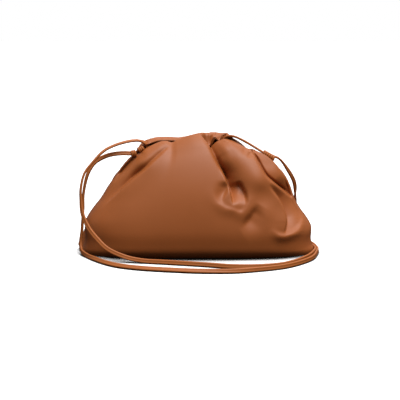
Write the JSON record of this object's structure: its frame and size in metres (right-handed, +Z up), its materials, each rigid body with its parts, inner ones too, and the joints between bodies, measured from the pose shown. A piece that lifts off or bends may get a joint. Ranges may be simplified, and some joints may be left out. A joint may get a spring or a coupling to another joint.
{
  "type": "cloud pouch bag",
  "caption": "Soft leather pouch bag gathered into a slit mouth, wide flat bottom with corner ears, and a thin knotted leather strap lying round it.",
  "frame": {"origin": "on the surface that the bag rests on, under the middle of the leather body", "axes": "+X to the right seen from the front, along the bag's width; +Y to the back; +Z up"},
  "size_m": [0.2329, 0.1455, 0.1153],
  "materials": {
    "bag_leather": "soft satin calf, tan",
    "strap_leather": "satin calf strip, tan, with a stitched line"
  },
  "bodies": {
    "root": {"front_panel": "bag_leather", "back_panel": "bag_leather", "strap_front": "strap_leather", "strap_rear": "strap_leather", "strap_tip": "strap_leather", "left_barrel_knot": "strap_leather", "left_stopper_knot": "strap_leather", "right_barrel_knot": "strap_leather"}
  },
  "joints": []
}
